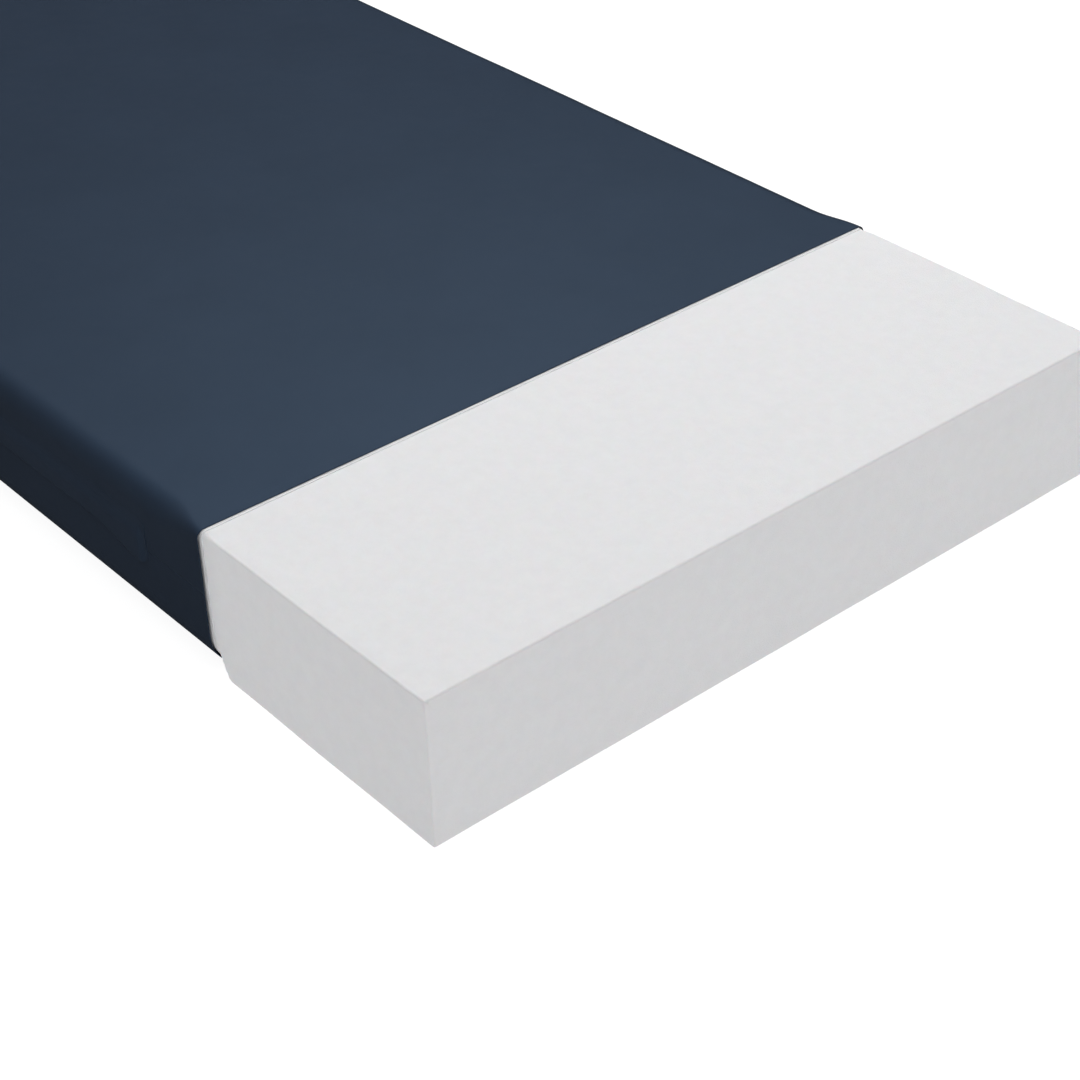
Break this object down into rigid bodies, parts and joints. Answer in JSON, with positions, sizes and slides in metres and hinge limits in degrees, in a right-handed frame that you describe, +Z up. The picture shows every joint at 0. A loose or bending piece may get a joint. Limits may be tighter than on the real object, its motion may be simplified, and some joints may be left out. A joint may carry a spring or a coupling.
{
  "type": "pressure relief mattress",
  "caption": "Foam hospital mattress in a wipe-clean zipped cover, cut away at the foot end to show the bare foam core.",
  "frame": {"origin": "on the floor, under the middle of the mattress's bounding box", "axes": "+X along the mattress towards its foot end, +Y across it, +Z up"},
  "size_m": [2.04, 0.905, 0.1691],
  "materials": {
    "white_foam": "fine open-cell polyurethane foam, sharp cut faces, dead matte",
    "white_knit": "thin white knitted fire-barrier fabric",
    "navy_cover": "navy stretch knit with a smooth matte polyurethane coating",
    "black_tape": "woven polyester zip tape",
    "black_nylon": "moulded nylon coil",
    "zip_metal": "die-cast zinc, dark enamel",
    "white_label": "plain woven label, blank"
  },
  "bodies": {
    "core": {"foam_core": "white_foam", "fire_barrier_sock": "white_knit"},
    "cover": {"cover_top_panel": "navy_cover", "cover_base_panel": "navy_cover", "zip_tape_upper": "black_tape", "zip_tape_lower": "black_tape", "zip_teeth_upper": "black_nylon", "zip_teeth_lower": "black_nylon", "zip_bottom_stop": "zip_metal", "zip_top_stops": "zip_metal", "zip_flap_head": "navy_cover", "care_label": "white_label"},
    "flap_left": {"zip_flap_left": "navy_cover"},
    "flap_right": {"zip_flap_right": "navy_cover"},
    "slider": {"zip_slider_body": "zip_metal"},
    "pull": {"zip_pull_tab": "zip_metal"}
  },
  "joints": [
    {"name": "cover_draw", "type": "slide", "parent": "core", "child": "cover", "axis": [-1, 0, 0], "range_m": [0, 1.75]},
    {"name": "flap_lift_left", "type": "hinge", "parent": "cover", "child": "flap_left", "pos_m": [0, -0.4494, 0.121], "axis": [-1, 0, 0], "range_deg": [0, 150]},
    {"name": "flap_lift_right", "type": "hinge", "parent": "cover", "child": "flap_right", "pos_m": [0, 0.4494, 0.121], "axis": [1, 0, 0], "range_deg": [0, 150]},
    {"name": "zip_slide", "type": "slide", "parent": "cover", "child": "slider", "axis": [-1, 0, 0], "range_m": [0, 1.47], "deforming": ["zip_teeth_upper", "zip_teeth_lower"]},
    {"name": "zip_pull_tilt", "type": "hinge", "parent": "slider", "child": "pull", "pos_m": [0.5408, 0.45, 0.102], "axis": [0, 0, -1], "range_deg": [0, 175]}
  ]
}
